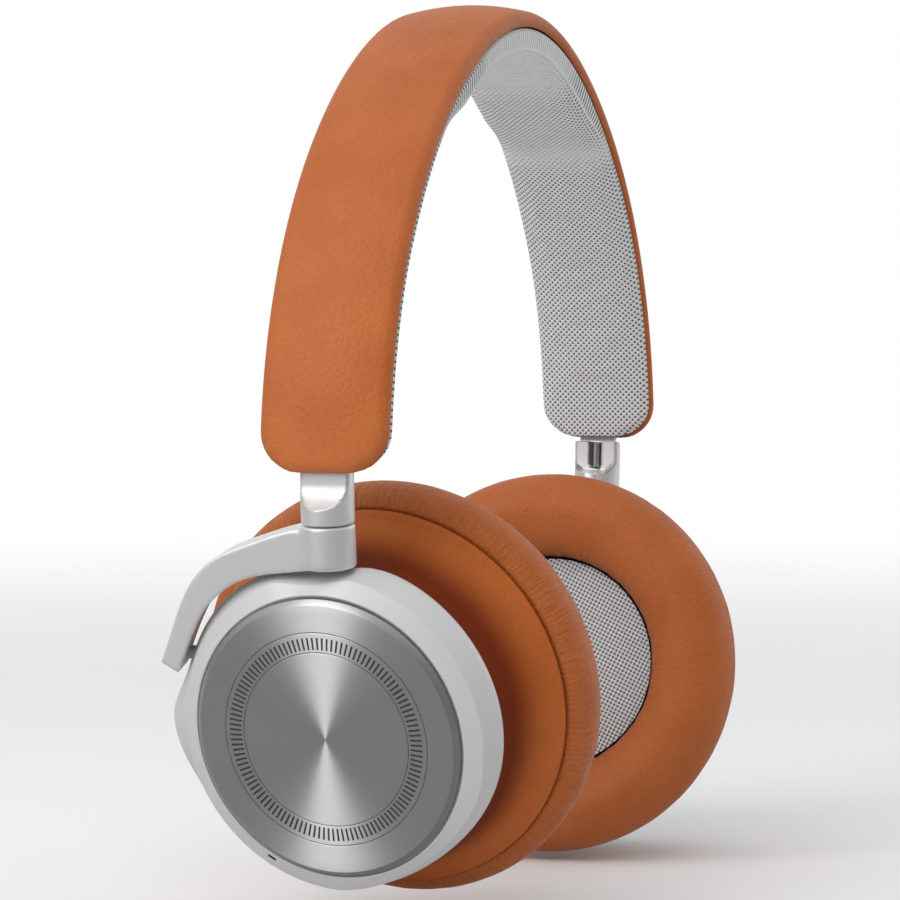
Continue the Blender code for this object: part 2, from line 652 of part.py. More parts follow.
def build_controls(cups):
    """Controls and sockets on the cups' rear and lower walls, in the band between the flare and the shell."""
    right, left = cups[-1], cups[1]
    add_wall_piece("power_switch", -1, right, SWITCH_ANGLE, (30.2 * MM, 34.6 * MM), (5 * MM, 3 * MM),
                   "blasted_aluminium", travel=SWITCH_TRAVEL)
    for name, side, cup in (("function_button", -1, right), ("noise_control_button", 1, left)):
        add_wall_piece(name, side, cup, CONTROL_ANGLE, (30.4 * MM, 34.5 * MM), (7 * MM, 3.2 * MM),
                       "blasted_aluminium")
    port = add_wall_piece("charging_port", -1, right, SOCKET_ANGLE, (27.5 * MM, 33.7 * MM), (9.6 * MM, 3.9 * MM),
                          "steel")
    mouth = add_box("charging_port_mouth", (28.5 * MM, -4.2 * MM, -1.35 * MM), (40 * MM, 4.2 * MM, 1.35 * MM),
                    port.parent, None)
    boolean(port, make_cutter(mouth))
    socket = add_wall_piece("headphone_socket", 1, left, SOCKET_ANGLE, (27.5 * MM, 33.7 * MM), (5.6 * MM, 5.6 * MM),
                            "steel", bevel=1.2 * MM)
    bore = add_cylinder("headphone_socket_bore", 1.8 * MM, (28.5 * MM, 0, 0), (40 * MM, 0, 0), socket.parent, None,
                        16)
    boolean(socket, make_cutter(bore))
    add_box("battery", (-5 * MM, -20 * MM, 23.4 * MM), (16 * MM, 13 * MM, 29.5 * MM), left, "black_plastic")
    add_box("radio_module", (-14 * MM, -18 * MM, 23.4 * MM), (6 * MM, 12 * MM, 26.4 * MM), right, "circuit_board")


# ---------------------------------------------------------------- assembly

def build_side(side):
    rest = REST[side]
    name = SIDE_NAME[side]
    slider = add_empty("slider_frame_" + name, BAND, rotation=(0, side * radians(rest["slide"]), 0))
    barrel = add_empty("barrel_frame_" + name, slider, (side * STRAP_R, 0, 0))
    arm = add_empty("arm_frame_" + name, barrel, rotation=(0, 0, side * radians(rest["swivel"])))
    pivot = add_empty("pivot_frame_" + name, arm, (side * PIVOT_OUT, 0, PIVOT_UP),
                      (0, side * radians(rest["tilt"]), 0))
    cup = add_empty("cup_frame_" + name, pivot, (-side * CUP_BEHIND_PIVOT, CUP_REAR, -CUP_BELOW_PIVOT),
                    (0, side * radians(90), 0))
    bpy.context.view_layer.update()
    bore = build_slider(side, slider, barrel)
    build_arm(side, arm, bore)
    build_cup(side, cup)
    return cup


BAND = add_empty("band_frame", location=ARCH_CENTRE)
build_headband()
CUPS = {side: build_side(side) for side in (-1, 1)}
build_controls(CUPS)
bpy.context.view_layer.update()
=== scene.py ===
"""Looks of the over-ear headphones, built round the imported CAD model. Metres; profiles are in millimetres."""
import json
from math import atan2, cos, exp, hypot, pi, radians, sin, sqrt

import bmesh
import bpy
import numpy as np
from mathutils import Matrix, Vector, noise


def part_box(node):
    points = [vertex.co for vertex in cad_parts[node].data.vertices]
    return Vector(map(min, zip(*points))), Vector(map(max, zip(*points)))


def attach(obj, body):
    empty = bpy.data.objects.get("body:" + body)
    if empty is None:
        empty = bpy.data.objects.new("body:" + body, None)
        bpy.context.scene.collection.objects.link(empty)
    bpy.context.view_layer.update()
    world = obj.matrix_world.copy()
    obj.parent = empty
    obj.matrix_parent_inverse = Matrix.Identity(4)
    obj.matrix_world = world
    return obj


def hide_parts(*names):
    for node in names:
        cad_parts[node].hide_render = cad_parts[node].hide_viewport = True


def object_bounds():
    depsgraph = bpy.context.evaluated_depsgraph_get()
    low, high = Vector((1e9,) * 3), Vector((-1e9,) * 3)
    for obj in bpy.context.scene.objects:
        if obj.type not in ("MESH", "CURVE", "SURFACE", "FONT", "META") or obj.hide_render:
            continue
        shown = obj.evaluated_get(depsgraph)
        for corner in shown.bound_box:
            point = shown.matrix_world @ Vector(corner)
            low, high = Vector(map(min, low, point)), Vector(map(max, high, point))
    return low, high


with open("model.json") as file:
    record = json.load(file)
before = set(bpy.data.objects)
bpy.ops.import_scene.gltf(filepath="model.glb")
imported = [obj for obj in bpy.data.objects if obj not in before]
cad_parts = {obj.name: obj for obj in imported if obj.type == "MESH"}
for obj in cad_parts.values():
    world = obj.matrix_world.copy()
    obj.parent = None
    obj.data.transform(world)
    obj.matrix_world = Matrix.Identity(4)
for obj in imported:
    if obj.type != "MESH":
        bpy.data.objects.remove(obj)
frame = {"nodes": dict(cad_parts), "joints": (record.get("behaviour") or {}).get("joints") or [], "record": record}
CAD_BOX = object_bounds()

MM = 0.001
SIDES = {"right": -1, "left": 1}
NODES = frame["nodes"]
JOINTS = {joint["name"]: joint for joint in frame["joints"]}
MOUNTS = {mount["name"]: mount for mount in frame["record"]["mounts"]}

# Heights along a cup's axis from the cushion's widest plane, and radii, in millimetres
DISC_FACE = 37.3
DISC_R = 30.4
SEAT_R = 30.9
SHELL_R = 36.9
BARREL_R = 5.65


# ---------------------------------------------------------------- frames

def axes_matrix(rear, up, origin):
    """Frame whose Y is rear and Z is up, made square."""
    z = up.normalized()
    y = (rear - z * rear.dot(z)).normalized()
    matrix = Matrix((y.cross(z), y, z)).transposed().to_4x4()
    matrix.translation = origin
    return matrix


def rearward(side):
    return Vector(JOINTS["tilt_" + side]["axis"]) * SIDES[side]


def cup_matrix(side):
    """Z outward along the cup's axis, Y rearward, origin on the cushion's widest plane."""
    face = MOUNTS["disc_face_" + side]
    outward = Vector(face["axis"])
    return axes_matrix(rearward(side), outward, Vector(face["pos_m"]) - outward * DISC_FACE * MM)


def barrel_matrix(side):
    """Z up the swivel axis, Y rearward in the slider's own frame, origin on the parting line."""
    joint = JOINTS["swivel_" + side]
    return axes_matrix(Vector((0, 1, 0)), Vector(joint["axis"]) * -SIDES[side], Vector(joint["pos_m"]))


def arm_matrix(side):
    joint = JOINTS["swivel_" + side]
    return axes_matrix(rearward(side), Vector(joint["axis"]) * -SIDES[side], Vector(joint["pos_m"]))


# ---------------------------------------------------------------- mesh helpers

def add_object(name, mesh, place=None, materials=()):
    obj = bpy.data.objects.new(name, mesh)
    bpy.context.scene.collection.objects.link(obj)
    for material in materials:
        mesh.materials.append(material)
    if place is not None:
        obj.matrix_world = place
    bpy.context.view_layer.update()
    return obj


def finish_mesh(mesh, sharp=40):
    """Faces turned outward, smooth, with sharp edges kept."""
    bm = bmesh.new()
    bm.from_mesh(mesh)
    bmesh.ops.recalc_face_normals(bm, faces=bm.faces)
    bm.to_mesh(mesh)
    bm.free()
    mesh.shade_smooth()
    mesh.set_sharp_from_angle(angle=radians(sharp))
    return mesh


def quad_faces(rows, columns, wrap_rows=False, wrap_columns=True):
    """Quads of a grid of points that are numbered row by row."""
    faces = []
    for i in range(rows if wrap_rows else rows - 1):
        for j in range(columns if wrap_columns else columns - 1):
            a, b = i * columns + j, i * columns + (j + 1) % columns
            c, d = ((i + 1) % rows) * columns + (j + 1) % columns, ((i + 1) % rows) * columns + j
            faces.append((a, b, c, d))
    return faces


def ring_grid(name, rings, place, materials, closed, sharp=40):
    """Body through rings of points in mm. A closed one joins its last ring to its first, others get caps."""
    count = len(rings[0])
    points = [point for ring in rings for point in ring]
    faces = quad_faces(len(rings), count, wrap_rows=closed)
    if not closed:
        faces += [tuple(range(count)), tuple(range(len(points) - count, len(points)))]
    mesh = bpy.data.meshes.new(name)
    mesh.from_pydata([tuple(c * MM for c in point) for point in points], [], faces)
    return add_object(name, finish_mesh(mesh, sharp), place, materials)


def turned(name, profile, place, material, steps=192, closed=True, sharp=40):
    """Turned body from a (radius, height) profile."""
    angles = [2 * pi * j / steps for j in range(steps)]
    rings = [[(r * cos(a), r * sin(a), h) for a in angles] for r, h in profile]
    return ring_grid(name, rings, place, [material], closed, sharp)


def through(points, steps, closed=False):
    """Smooth curve through a few points, as a Catmull-Rom spline."""
    p = [np.array(point, float) for point in points]
    count = len(p)
    spans = count if closed else count - 1
    made = []
    for i in range(spans):
        if closed:
            a, b, c, d = (p[(i + k) % count] for k in (-1, 0, 1, 2))
        else:
            a, b, c, d = p[max(i - 1, 0)], p[i], p[i + 1], p[min(i + 2, count - 1)]
        for k in range(steps):
            t = k / steps
            made.append(0.5 * (2 * b + (c - a) * t + (2 * a - 5 * b + 4 * c - d) * t * t
                               + (3 * b - a - 3 * c + d) * t ** 3))
    if not closed:
        made.append(p[-1])
    return [tuple(point) for point in made]


def apply_modifiers(obj):
    depsgraph = bpy.context.evaluated_depsgraph_get()
    mesh = bpy.data.meshes.new_from_object(obj.evaluated_get(depsgraph))
    obj.modifiers.clear()
    obj.data = mesh


def boolean(obj, cutter, operation="DIFFERENCE"):
    modifier = obj.modifiers.new("cut", "BOOLEAN")
    modifier.operation = operation
    modifier.solver = "EXACT"
    modifier.object = cutter
    apply_modifiers(obj)
    bpy.data.objects.remove(cutter, do_unlink=True)


def coordinates(mesh):
    values = np.zeros(len(mesh.vertices) * 3, np.float32)
    mesh.vertices.foreach_get("co", values)
    return values.reshape(-1, 3).astype(float)


def set_coordinates(mesh, points):
    mesh.vertices.foreach_set("co", points.astype(np.float32).ravel())
    mesh.update()


def add_attribute(mesh, name, kind, values):
    attribute = mesh.attributes.new(name, kind, "POINT")
    key = "vector" if kind == "FLOAT_VECTOR" else "value"
    attribute.data.foreach_set(key, np.asarray(values, np.float32).ravel())


def smooth_step(value, low, high):
    t = np.clip((np.asarray(value, float) - low) / (high - low), 0, 1)
    return t * t * (3 - 2 * t)


PAD_PRESSURE = 4.0
LAST_FRAME = 20
SWELL_CAP = 0.5


def inflate(obj, held):
    """Short cloth simulation that fills a pad out. Held points stay, and none moves further than SWELL_CAP."""
    rest = coordinates(obj.data)
    group = obj.vertex_groups.new(name="held")
    group.add([int(i) for i in np.flatnonzero(held)], 1.0, "REPLACE")
    cloth = obj.modifiers.new("cloth", "CLOTH")
    settings = cloth.settings
    settings.quality = 6
    settings.mass = 0.2
    settings.use_pressure = True
    settings.uniform_pressure_force = PAD_PRESSURE
    settings.vertex_group_mass = group.name
    settings.effector_weights.gravity = 0
    cloth.point_cache.frame_start = 1
    cloth.point_cache.frame_end = LAST_FRAME
    scene = bpy.context.scene
    for number in range(1, LAST_FRAME + 1):
        scene.frame_set(number)
    depsgraph = bpy.context.evaluated_depsgraph_get()
    simulated = obj.evaluated_get(depsgraph).to_mesh()
    moved = coordinates(simulated) - rest
    obj.evaluated_get(depsgraph).to_mesh_clear()
    obj.modifiers.remove(cloth)
    scene.frame_set(1)
    length = np.linalg.norm(moved, axis=1, keepdims=True)
    set_coordinates(obj.data, rest + moved * np.minimum(1, SWELL_CAP * MM / np.maximum(length, 1e-9)))


def subdivide(obj):
    modifier = obj.modifiers.new("smooth", "SUBSURF")
    modifier.levels = modifier.render_levels = 1


# ---------------------------------------------------------------- materials

def new_material(name, colour, roughness, metallic=0.0):
    material = bpy.data.materials.new(name)
    material.use_nodes = True
    shader = material.node_tree.nodes["Principled BSDF"]
    shader.inputs["Base Color"].default_value = (*colour, 1)
    shader.inputs["Roughness"].default_value = roughness
    shader.inputs["Metallic"].default_value = metallic
    return material, material.node_tree, shader


def add_node(tree, kind, inputs=None, **settings):
    made = tree.nodes.new(kind)
    for key, value in settings.items():
        setattr(made, key, value)
    for key, value in (inputs or {}).items():
        if isinstance(value, bpy.types.NodeSocket):
            tree.links.new(value, made.inputs[key])
        else:
            made.inputs[key].default_value = value
    return made


def object_coordinates(tree):
    return add_node(tree, "ShaderNodeTexCoord").outputs["Object"]


def named_attribute(tree, name):
    return add_node(tree, "ShaderNodeAttribute", attribute_name=name)


def noise_at(tree, vector, scale, detail=2.0, rough=0.5):
    return add_node(tree, "ShaderNodeTexNoise", {"Vector": vector, "Scale": scale, "Detail": detail,
                                                "Roughness": rough}).outputs["Fac"]


def maths(tree, operation, first, second=0.0, clamp=False):
    return add_node(tree, "ShaderNodeMath", {0: first, 1: second}, operation=operation,
                    use_clamp=clamp).outputs[0]


def ramp(tree, value, low, high, out_low=0.0, out_high=1.0):
    return add_node(tree, "ShaderNodeMapRange", {"Value": value, "From Min": low, "From Max": high,
                    "To Min": out_low, "To Max": out_high}, interpolation_type="SMOOTHSTEP").outputs["Result"]


def mix_colour(tree, factor, first, second):
    node = add_node(tree, "ShaderNodeMix", {"Factor": factor}, data_type="RGBA")
    for index, value in ((6, first), (7, second)):
        if isinstance(value, bpy.types.NodeSocket):
            tree.links.new(value, node.inputs[index])
        else:
            node.inputs[index].default_value = (*value, 1)
    return node.outputs[2]


def bump(tree, height, strength, distance, normal=None):
    inputs = {"Height": height, "Strength": strength, "Distance": distance}
    if normal is not None:
        inputs["Normal"] = normal
    return add_node(tree, "ShaderNodeBump", inputs).outputs["Normal"]


LEATHER = (0.47, 0.128, 0.030)
LEATHER_DARK = (0.35, 0.078, 0.012)
# Painted shade: darkest leather, mixed in where the shell's rim and the ear opening would shade the leather.
LEATHER_PAINTED_SHADE = (0.14, 0.015, 0.0)


def leather_material(name, creased=False, gloss=0.3):
    """Fine-grained cognac leather. A creased one has wrinkles, painted shade in their valleys and painted shade in
    sheltered places, all from the mesh's attributes.
    """
    material, tree, shader = new_material(name, LEATHER, 0.5)
    place = object_coordinates(tree)
    tone = noise_at(tree, place, 70, 5)
    cells = add_node(tree, "ShaderNodeTexVoronoi", {"Vector": place, "Scale": 1350.0}, feature="F1")
    pores = cells.outputs["Distance"]
    grain = noise_at(tree, place, 900, 3, 0.6)
    height = maths(tree, "ADD", maths(tree, "MULTIPLY", pores, -0.5), grain)
    normal = bump(tree, height, 0.6, 0.0003)
    colour = mix_colour(tree, ramp(tree, tone, 0.3, 0.75, 0.0, 0.4), LEATHER, LEATHER_DARK)
    colour = mix_colour(tree, ramp(tree, pores, 0.45, 0.85, 0.0, 0.2), colour, LEATHER_DARK)
    if creased:
        wrinkle = named_attribute(tree, "wrinkle").outputs["Vector"]
        weight = named_attribute(tree, "crease").outputs["Fac"]
        folds = noise_at(tree, wrinkle, 1.0, 3, 0.6)
        folds = maths(tree, "MULTIPLY", ramp(tree, folds, 0.3, 0.7), weight)
        normal = bump(tree, folds, 0.8, 0.0005, normal)
        # Painted shade: the leather is darkened in the wrinkles' valleys, more where the crease weight is high.
        shade = maths(tree, "MULTIPLY", maths(tree, "SUBTRACT", weight, folds), 0.3, clamp=True)
        colour = mix_colour(tree, shade, colour, LEATHER_DARK)
        # Painted shade from a mesh attribute: towards the shell's rim on the wrap, and in the cushion's ear
        # opening.
        colour = mix_colour(tree, named_attribute(tree, "painted_shade").outputs["Fac"], colour, LEATHER_PAINTED_SHADE)
    tree.links.new(colour, shader.inputs["Base Color"])
    tree.links.new(ramp(tree, grain, 0.3, 0.7, 0.44, 0.58), shader.inputs["Roughness"])
    tree.links.new(normal, shader.inputs["Normal"])
    shader.inputs["Specular IOR Level"].default_value = gloss
    return material


def mesh_fabric(name, light, dark, pitch, hole, stretch=1.0, turn=0.0):
    """Open knit: light threads round a staggered grid of small dark holes, in mm of the weave attribute.

    The holes close where the attribute named taut is 1.
    """
    material, tree, shader = new_material(name, light, 0.85)
    weave = named_attribute(tree, "weave").outputs["Vector"]
    wobble = noise_at(tree, weave, 0.35, 2)
    taut = named_attribute(tree, "taut").outputs["Fac"]
    placed = add_node(tree, "ShaderNodeMapping", {"Vector": weave, "Rotation": (0, 0, turn),
                      "Scale": (2 * pi / pitch, 2 * pi / (pitch * stretch), 0)}).outputs["Vector"]
    split = add_node(tree, "ShaderNodeSeparateXYZ", {"Vector": placed})
    first = maths(tree, "COSINE", maths(tree, "ADD", split.outputs["X"], maths(tree, "MULTIPLY", wobble, 0.5)))
    second = maths(tree, "COSINE", split.outputs["Y"])
    cell = maths(tree, "MULTIPLY", first, second)
    open_share = maths(tree, "SUBTRACT", 1.0, maths(tree, "MULTIPLY", taut, 0.7))
    holes = maths(tree, "MULTIPLY", ramp(tree, cell, hole, hole + 0.34), open_share)
    fuzz = noise_at(tree, weave, 9.0, 3)
    threads = mix_colour(tree, ramp(tree, fuzz, 0.3, 0.75), light, tuple(0.8 * c for c in light))
    tree.links.new(mix_colour(tree, holes, threads, dark), shader.inputs["Base Color"])
    height = maths(tree, "ADD", maths(tree, "MULTIPLY", cell, -1.0), maths(tree, "MULTIPLY", fuzz, 0.4))
    tree.links.new(bump(tree, height, 0.6, 0.00022), shader.inputs["Normal"])
    shader.inputs["Specular IOR Level"].default_value = 0.25
    shader.inputs["Sheen Weight"].default_value = 0.2
    return material


def metal_material(name, colour, roughness, grit=0.1, scale=2500.0, streak=None, metallic=1.0):
    """Metal with a fine blasted or brushed surface. streak stretches the grit along one axis."""
    material, tree, shader = new_material(name, colour, roughness, metallic)
    place = object_coordinates(tree)
    if streak:
        place = add_node(tree, "ShaderNodeMapping", {"Vector": place, "Scale": streak}).outputs["Vector"]
    fine = noise_at(tree, place, scale, 2, 0.6)
    tree.links.new(bump(tree, fine, grit, 0.00005), shader.inputs["Normal"])
    tree.links.new(ramp(tree, fine, 0.2, 0.8, roughness - 0.05, roughness + 0.06), shader.inputs["Roughness"])
    return material


def shell_material(name):
    """Satin silver finish on the outer shell."""
    material, tree, shader = new_material(name, (0.56, 0.56, 0.565), 0.42, 0.12)
    fine = noise_at(tree, object_coordinates(tree), 3200, 2)
    tree.links.new(bump(tree, fine, 0.06, 0.00004), shader.inputs["Normal"])
    tree.links.new(ramp(tree, fine, 0.2, 0.8, 0.38, 0.46), shader.inputs["Roughness"])
    return material


def spun_material(name):
    """Spun aluminium: fine rings about local Z, so that its highlights fan out."""
    material, tree, shader = new_material(name, (0.84, 0.84, 0.845), 0.3, 1.0)
    split = add_node(tree, "ShaderNodeSeparateXYZ", {"Vector": object_coordinates(tree)})
    squares = [maths(tree, "MULTIPLY", split.outputs[axis], split.outputs[axis]) for axis in ("X", "Y")]
    radius = maths(tree, "SQRT", maths(tree, "ADD", *squares))
    rings = add_node(tree, "ShaderNodeTexNoise", {"W": maths(tree, "MULTIPLY", radius, 9000.0), "Detail": 3.0},
                     noise_dimensions="1D").outputs["Fac"]
    tree.links.new(bump(tree, rings, 0.07, 0.00003), shader.inputs["Normal"])
    tree.links.new(ramp(tree, rings, 0.2, 0.8, 0.48, 0.58), shader.inputs["Roughness"])
    shader.inputs["Anisotropic"].default_value = 0.95
    shader.inputs["Anisotropic Rotation"].default_value = 0.25
    tangent = add_node(tree, "ShaderNodeTangent", direction_type="RADIAL", axis="Z").outputs["Tangent"]
    tree.links.new(tangent, shader.inputs["Tangent"])
    return material


def plain_material(name, colour, roughness, metallic=0.0, scale=600.0, depth=0.00006):
    """Moulded or machined piece: fine texture in its colour, gloss and surface."""
    material, tree, shader = new_material(name, colour, roughness, metallic)
    fine = noise_at(tree, object_coordinates(tree), scale, 4, 0.6)
    darker = tuple(0.75 * c for c in colour)
    tree.links.new(mix_colour(tree, ramp(tree, fine, 0.3, 0.75), colour, darker), shader.inputs["Base Color"])
    tree.links.new(ramp(tree, fine, 0.3, 0.7, roughness - 0.06, roughness + 0.06), shader.inputs["Roughness"])
    tree.links.new(bump(tree, fine, 0.3, depth), shader.inputs["Normal"])
    return material


MATERIALS = {
    "band_leather": leather_material("band_leather"),
    "wrap_leather": leather_material("wrap_leather", creased=True, gloss=0.1),
    "cushion_leather": leather_material("cushion_leather", creased=True),
    "knit": mesh_fabric("knit", (0.76, 0.78, 0.79), (0.1, 0.1, 0.1), 1.45, 0.2, 1.07),
    "speaker_mesh": mesh_fabric("speaker_mesh", (0.72, 0.735, 0.74), (0.14, 0.14, 0.14), 1.3, -0.05,
                                turn=radians(20)),
    "shell": shell_material("shell"),
    "spun": spun_material("spun"),
    "polished": metal_material("polished", (0.5, 0.5, 0.505), 0.32, 0.03),
    "blasted": metal_material("blasted", (0.82, 0.82, 0.825), 0.5, 0.22, metallic=0.75),
    "tick_ink": plain_material("tick_ink", (0.05, 0.05, 0.052), 0.5),
    "steel": metal_material("steel", (0.5, 0.5, 0.52), 0.32, 0.1, 900.0, (0.08, 1.0, 0.08)),
    "black_plastic": plain_material("black_plastic", (0.02, 0.02, 0.021), 0.5),
    "foam": plain_material("foam", (0.08, 0.08, 0.08), 0.9, scale=1500.0, depth=0.0004),
    "magnet": plain_material("magnet", (0.2, 0.2, 0.21), 0.35, 1.0),
    "board": plain_material("board", (0.02, 0.12, 0.05), 0.5),
    "membrane": plain_material("membrane", (0.12, 0.12, 0.13), 0.4),
    "cable": plain_material("cable", (0.03, 0.03, 0.03), 0.6),
}
CARRIED = {
    "pad_foam": "foam", "black_plastic": "black_plastic", "steel": "steel", "cable_jacket": "cable",
    "magnet_steel": "magnet", "circuit_board": "board", "membrane": "membrane",
    "blasted_aluminium": "blasted", "spun_aluminium": "spun", "silver_shell": "shell",
    "cognac_leather": "band_leather", "cushion_leather": "cushion_leather", "grey_knit": "knit",
    "speaker_mesh": "speaker_mesh",
}


def dress_cad_nodes():
    """Every carried-over CAD node gets the procedural material of its record slot."""
    slots = {part["node"]: part["material_slot"] for part in frame["record"]["subparts"]}
    for name, node in NODES.items():
        node.data.materials.clear()
        node.data.materials.append(MATERIALS[CARRIED[slots[name]]])


def place_piece(obj, body, slot, *nodes):
    """The piece rides on its body and stands for CAD nodes, which it hides. Its slot is not used."""
    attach(obj, body)
    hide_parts(*nodes)


# ---------------------------------------------------------------- headband

LEATHER_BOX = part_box("headband_leather_cover")
ARCH_CENTRE = Vector(JOINTS["slide_right"]["pos_m"])
ARCH_R = LEATHER_BOX[1].x / MM
CROWN_RISE = (LEATHER_BOX[1].z - ARCH_CENTRE.z) / MM - ARCH_R
HALF_WIDTH = LEATHER_BOX[1].y / MM
ARCH_LENGTH = pi * ARCH_R
CORNER_R = 9.0


def arch_radius(angle):
    return ARCH_R + CROWN_RISE * np.sin(angle) ** 9


def arch_points(along, across, depth):
    """Places on the arch, in mm about its centre, from mm along it, across it and under its outer surface."""
    angle = along / ARCH_R
    step = 1e-4
    radius = arch_radius(angle)
    slope = (arch_radius(angle + step) - arch_radius(angle - step)) / (2 * step)
    x, z = -radius * np.cos(angle), radius * np.sin(angle)
    normal_x = -radius * np.cos(angle) - slope * np.sin(angle)
    normal_z = radius * np.sin(angle) - slope * np.cos(angle)
    length = np.hypot(normal_x, normal_z)
    return np.stack([x - normal_x / length * depth, across, z - normal_z / length * depth], -1)


class Strip:
    """Rounded strip laid out flat: rows along it and columns across it, with round corners at both ends."""

    def __init__(self, start, half_width, corner, row_step, columns):
        self.start, self.end = start, ARCH_LENGTH - start
        self.half_width, self.corner = half_width, corner
        ends = [start + corner * (1 - cos(radians(a))) for a in (0, 12, 24, 35, 45, 54, 63, 72, 81)]
        count = round((self.end - self.start - 2 * corner) / row_step)
        middle = list(np.linspace(start + corner, self.end - corner, count + 1))
        self.rows = np.array(ends + middle + [ARCH_LENGTH - value for value in reversed(ends)])
        into = np.minimum(np.minimum(self.rows - start, self.end - self.rows), corner)
        width = half_width - corner + np.sqrt(np.maximum(corner ** 2 - (corner - into) ** 2, 0))
        spread = np.sin(np.linspace(-1, 1, columns) * pi / 2)
        self.along = np.repeat(self.rows[:, None], columns, 1)
        self.across = width[:, None] * spread[None, :]
        self.shape = self.along.shape

    def inset(self, along, across):
        """Distance in from the strip's outline."""
        middle = (self.start + self.end) / 2
        qx = np.abs(along - middle) - ((self.end - self.start) / 2 - self.corner)
        qy = np.abs(across) - (self.half_width - self.corner)
        outside = np.hypot(np.maximum(qx, 0), np.maximum(qy, 0)) + np.minimum(np.maximum(qx, qy), 0)
        return self.corner - outside

    def inward(self, along, across):
        """Direction in from the outline at its own points."""
        step = 0.02
        gx = self.inset(along + step, across) - self.inset(along - step, across)
        gy = self.inset(along, across + step) - self.inset(along, across - step)
        length = np.maximum(np.hypot(gx, gy), 1e-9)
        return gx / length, gy / length

    def perimeter(self):
        """Indices of the outline's points, once round."""
        rows, columns = self.shape
        index = np.arange(rows * columns).reshape(rows, columns)
        return np.concatenate([index[0, :-1], index[:-1, -1], index[-1, :0:-1], index[:0:-1, 0]])


def pillow(name, strip, face_depth, edge_rings, back_depth, back_inset, material):
    """Closed soft strip: a face, rings rolled over its edge and a back. Depths are functions of its places."""
    along, across = strip.along.ravel(), strip.across.ravel()
    face = arch_points(along, across, face_depth(along, across))
    edge = strip.perimeter()
    ex, ey = along[edge], across[edge]
    nx, ny = strip.inward(ex, ey)
    layers = [face]
    for inset, depth in edge_rings:
        layers.append(arch_points(ex + nx * inset, ey + ny * inset, depth(ex, ey)))
    shrink_along = (strip.end - strip.start - 2 * back_inset) / (strip.end - strip.start)
    shrink_across = (strip.half_width - back_inset) / strip.half_width
    middle = ARCH_LENGTH / 2
    bx, by = middle + (along - middle) * shrink_along, across * shrink_across
    layers.append(arch_points(bx, by, back_depth(bx, by)))
    points = np.concatenate(layers)
    rows, columns = strip.shape
    grid = quad_faces(rows, columns, wrap_columns=False)
    back_start = len(points) - rows * columns
    faces = list(grid) + [tuple(back_start + i for i in reversed(face)) for face in grid]
    loops = [edge]
    start = len(face)
    for _ in edge_rings:
        loops.append(np.arange(start, start + len(edge)))
        start += len(edge)
    loops.append(edge + back_start)
    for first, second in zip(loops, loops[1:]):
        for i in range(len(edge)):
            j = (i + 1) % len(edge)
            faces.append((int(first[i]), int(first[j]), int(second[j]), int(second[i])))
    mesh = bpy.data.meshes.new(name)
    mesh.from_pydata((points * MM + np.array(ARCH_CENTRE)).tolist(), [], faces)
    return add_object(name, finish_mesh(mesh, 80), None, [material])


def from_end(along):
    return np.minimum(along, ARCH_LENGTH - along)


def over_slider(along, across):
    """1 over the slider's mouth at the band's ends, 0 elsewhere."""
    return (1 - smooth_step(np.abs(across), 6.0, 10.5)) * (1 - smooth_step(from_end(along), 4, 11))


def tongue_track(along, across):
    """1 where the slider's tongue runs when it is pushed in, 0 elsewhere."""
    return (1 - smooth_step(np.abs(across), 6.0, 8.5)) * (1 - smooth_step(from_end(along), 13, 17))


LEATHER_WALL = 1.1
LEATHER_EDGE = 3.7
LEATHER_ROLL = 2.0
LEATHER_DOME = 2.0
LEATHER_BACK_INSET = 1.6
MOUTH_THINNING = 0.42


def build_band_leather():
    """Leather strip, domed across, with rolled edges that thin out over each slider."""
    strip = Strip(0.7, HALF_WIDTH, CORNER_R, 2.4, 41)

    def thin(along, across):
        return 1 - MOUTH_THINNING * over_slider(along, across)

    def dome(across):
        return LEATHER_DOME * (across / HALF_WIDTH) ** 2

    def face(along, across):
        inset = np.maximum(strip.inset(along, across), 0)
        rolled = 1 - np.sqrt(np.maximum(1 - (1 - np.minimum(inset / LEATHER_ROLL, 1)) ** 2, 0))
        return (dome(across) + (LEATHER_EDGE - dome(across)) * rolled) * thin(along, across)

    def ring(depth):
        return lambda along, across: depth * thin(along, across)

    rings = [(inset, ring(depth)) for inset, depth in
             ((0.03, 4.2), (0.2, 4.7), (0.5, 5.1), (0.8, 5.2), (1.15, 5.1), (1.4, 4.6))]

    def back(along, across):
        inset = strip.inset(along, across)
        thickness = LEATHER_WALL * (2 - smooth_step(inset, LEATHER_BACK_INSET, 4.0))
        return (dome(across) + thickness) * thin(along, across)

    material = MATERIALS["band_leather"]
    leather = pillow("headband_leather", strip, face, rings, back, LEATHER_BACK_INSET, material)
    place_piece(leather, "headband", "cognac_leather", "headband_leather_cover")


# Share of the pad's full thickness by distance in from its edge, in mm
PAD_INSET, PAD_SHARE = zip(*through([(0, 0), (0.4, 0.3), (1.6, 0.62), (4.6, 0.9), (8.6, 0.98), (14, 1)], 6))
# Creases across the pad: degrees from the crown, width and depth
PAD_CREASES = ((18, 1.5, 0.5), (39, 1.8, 0.4))
CROWN_DEPTH, SIDE_DEPTH = 12.3, 8.8
CROWN_STEP = (28, 40)
PAD_RIM = 6.5
PAD_WALL = 1.1
TONGUE_ROOM = 1.85


def off_crown(along):
    return np.degrees(np.abs(along / ARCH_R - pi / 2))


def pad_depth(along):
    """Depth of the pad's head side: thick over the crown, with a step down and creases either side of it."""
    depth = CROWN_DEPTH - (CROWN_DEPTH - SIDE_DEPTH) * smooth_step(off_crown(along), *CROWN_STEP)
    for centre, width, fold in PAD_CREASES:
        depth = depth - fold * np.exp(-((off_crown(along) - centre) / width) ** 2)
    return depth


